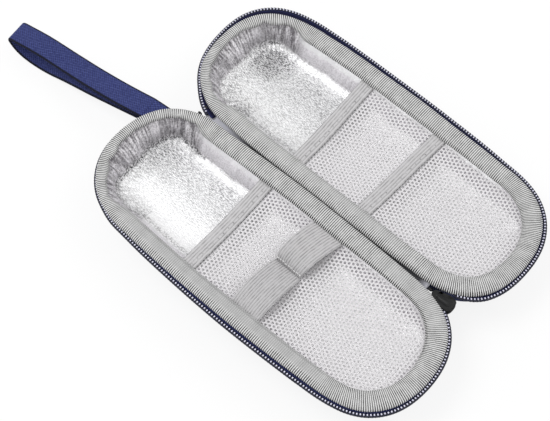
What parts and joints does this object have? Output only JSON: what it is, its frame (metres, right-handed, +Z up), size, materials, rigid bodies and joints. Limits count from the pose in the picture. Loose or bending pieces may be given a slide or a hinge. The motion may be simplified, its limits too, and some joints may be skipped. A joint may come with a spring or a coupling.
{
  "type": "insulin cooling case",
  "caption": "Open stadium-shaped zip case: two foil-lined insulated half shells on a fabric spine, with mesh pockets, elastic pen loops and a wrist strap.",
  "frame": {"origin": "centre of the flat bottom of the base half, on the surface that the open case lies on", "axes": "+X runs across the spine from the base half to the lid half, +Y runs along the case towards the strap end, +Z is up out of the open halves"},
  "size_m": [0.16, 0.2945, 0.0295],
  "materials": {
    "navy_shell": "matte",
    "navy_webbing": "matte",
    "navy_zip_tape": "matte",
    "zip_coil": "satin",
    "grey_binding": "matte",
    "grey_elastic": "matte",
    "white_net": "matte",
    "foil": "satin",
    "foam": "matte",
    "black_metal": "satin"
  },
  "bodies": {
    "base": {"base_shell": "navy_shell", "base_insulation_foam": "foam", "base_foil_liner": "foil", "base_rim_binding": "grey_binding", "base_zipper_tape": "navy_zip_tape", "base_zipper_coil": "zip_coil", "base_zipper_top_stop": "black_metal", "base_mesh_pocket": "white_net", "base_pocket_trim": "grey_elastic", "pen_loop_band": "grey_elastic", "spine_outer_fabric": "navy_shell", "spine_inner_ribbon": "grey_binding", "zipper_bottom_stop": "black_metal", "strap_sewn_end": "navy_webbing"},
    "lid": {"lid_shell": "navy_shell", "lid_insulation_foam": "foam", "lid_foil_liner": "foil", "lid_rim_binding": "grey_binding", "lid_zipper_tape": "navy_zip_tape", "lid_zipper_coil": "zip_coil", "lid_zipper_top_stop": "black_metal", "lid_upper_mesh_pocket": "white_net", "lid_upper_pocket_trim": "grey_elastic", "lid_lower_mesh_pocket": "white_net", "lid_lower_pocket_trim": "grey_elastic"},
    "slider": {"zipper_slider": "black_metal"},
    "pull_tab": {"zipper_pull_tab": "black_metal"},
    "strap": {"wrist_strap": "navy_webbing"}
  },
  "joints": [
    {"name": "lid_hinge", "type": "hinge", "parent": "base", "child": "lid", "pos_m": [0.0388, 0, 0.0275], "axis": [0, -1, 0], "range_deg": [0, 180], "deforming": ["spine_outer_fabric", "spine_inner_ribbon"]},
    {"name": "slider_travel", "type": "hinge", "parent": "base", "child": "slider", "pos_m": [0, -0.0615, 0.0248], "axis": [0, 0, -1], "range_deg": [0, 140]},
    {"name": "pull_tab_swing", "type": "hinge", "parent": "slider", "child": "pull_tab", "pos_m": [0.0388, -0.07993, 0.0216], "axis": [-1, 0, 0], "range_deg": [0, 85]},
    {"name": "strap_swing", "type": "hinge", "parent": "base", "child": "strap", "pos_m": [0.0225, 0.10011, 0.02345], "axis": [0.9936, 0.1132, 0], "range_deg": [0, 85]}
  ]
}
